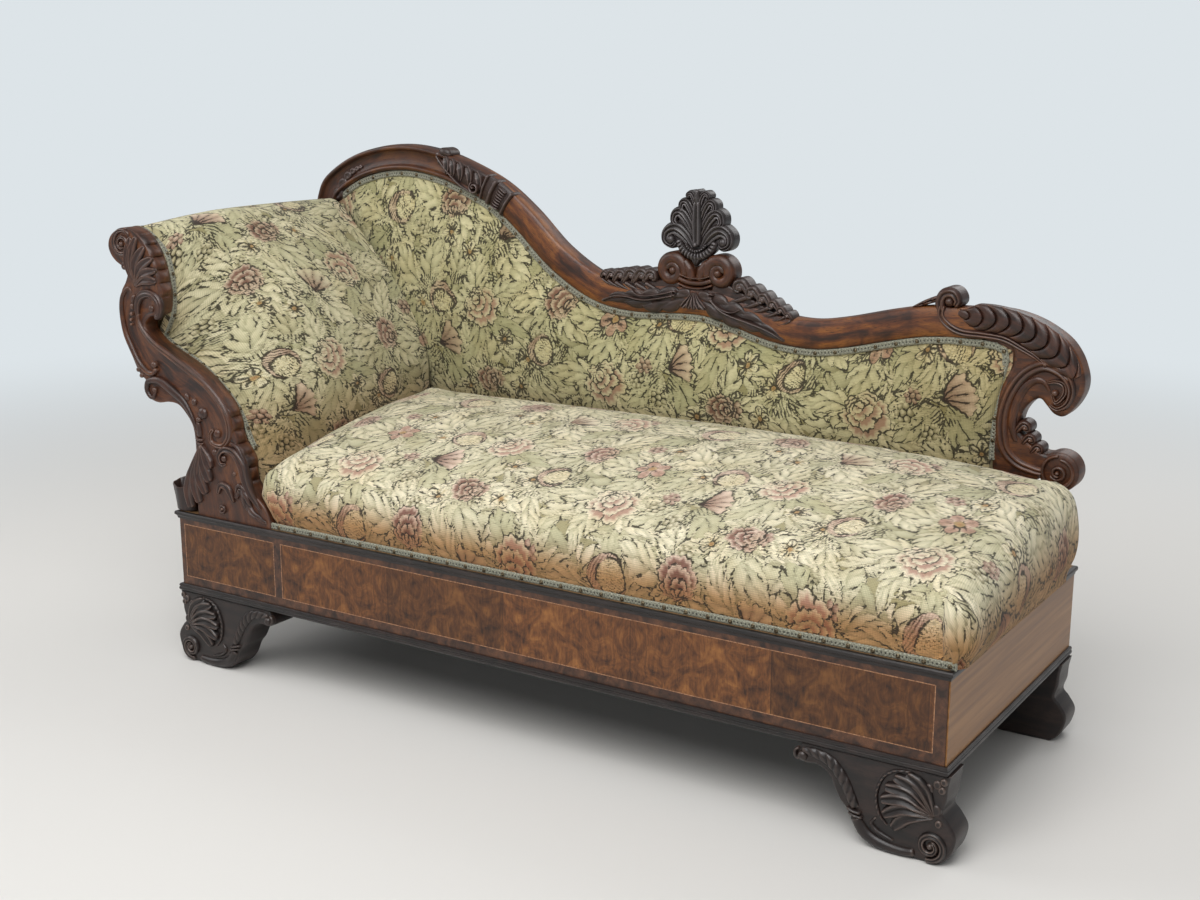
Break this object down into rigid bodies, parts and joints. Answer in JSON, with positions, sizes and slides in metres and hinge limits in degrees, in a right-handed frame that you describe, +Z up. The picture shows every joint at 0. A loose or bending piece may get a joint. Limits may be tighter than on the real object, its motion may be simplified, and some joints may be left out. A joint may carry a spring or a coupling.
{
  "type": "recamier",
  "caption": "Upholstered daybed with a scroll-over head end, a shaped carved walnut back falling to a scroll at the foot, a sprung seat and a veneered base on bracket feet.",
  "frame": {"origin": "on the floor, under the middle of the object's overall box", "axes": "+X along the length towards the foot end, with the scrolled head end at -X; +Y towards the back, with the open front at -Y; +Z up"},
  "size_m": [1.8485, 0.635, 1.0491],
  "materials": {
    "polished_walnut": "polished",
    "carved_walnut": "waxed, dark in the hollows",
    "burr_veneer": "polished",
    "end_veneer": "polished",
    "string_inlay": "polished",
    "beech": "sawn",
    "steel": "plain",
    "jute": "coarse weave",
    "hair": "curled hair",
    "tapestry": "woven floral tapestry",
    "braid": "woven braid",
    "nail": "antiqued",
    "black_cloth": "plain weave"
  },
  "bodies": {
    "root": {"front_rail": "beech", "back_rail": "beech", "head_end_rail": "beech", "foot_end_rail": "beech", "corner_blocks": "beech", "cross_rail": "beech", "front_crossbanding": "carved_walnut", "front_veneer_leaves": "burr_veneer", "front_stringing": "string_inlay", "foot_end_veneer": "end_veneer", "head_end_veneer": "carved_walnut", "front_lip": "carved_walnut", "foot_end_lip": "carved_walnut", "head_end_lip": "carved_walnut", "front_bead": "carved_walnut", "foot_end_bead": "carved_walnut", "head_end_bead": "carved_walnut", "foot_front_right": "carved_walnut", "foot_front_left": "carved_walnut", "foot_back_right": "carved_walnut", "foot_back_left": "carved_walnut", "foot_screws": "steel", "seat_webbing": "jute", "seat_springs": "steel", "seat_hessian": "jute", "seat_hair_pad": "hair", "seat_cushion": "tapestry", "seat_gimp": "braid", "dust_cloth": "black_cloth", "head_front_board": "polished_walnut", "head_back_board": "polished_walnut", "head_roll_rail": "beech", "head_cross_rails": "beech", "head_ledge": "polished_walnut", "head_webbing": "jute", "head_pad": "tapestry", "head_outside_cover": "tapestry", "head_gimp": "braid", "arm_shell_leaf": "carved_walnut", "arm_inner_scroll": "carved_walnut", "arm_lower_scroll": "carved_walnut", "arm_base_cup": "carved_walnut", "arm_rosettes": "carved_walnut", "crest_rail": "polished_walnut", "back_foot_post": "polished_walnut", "back_bottom_rail": "beech", "back_stiles": "beech", "back_webbing": "jute", "back_pad": "tapestry", "back_outside_cover": "tapestry", "back_gimp": "braid", "crest_leaf_cap": "carved_walnut", "crest_collar": "carved_walnut", "finial_palmette": "carved_walnut", "finial_scrolls": "carved_walnut", "crest_leaf_left": "carved_walnut", "crest_leaf_right": "carved_walnut", "foot_scroll": "polished_walnut", "foot_scroll_gadroons": "carved_walnut", "gimp_nails": "nail"}
  },
  "joints": []
}
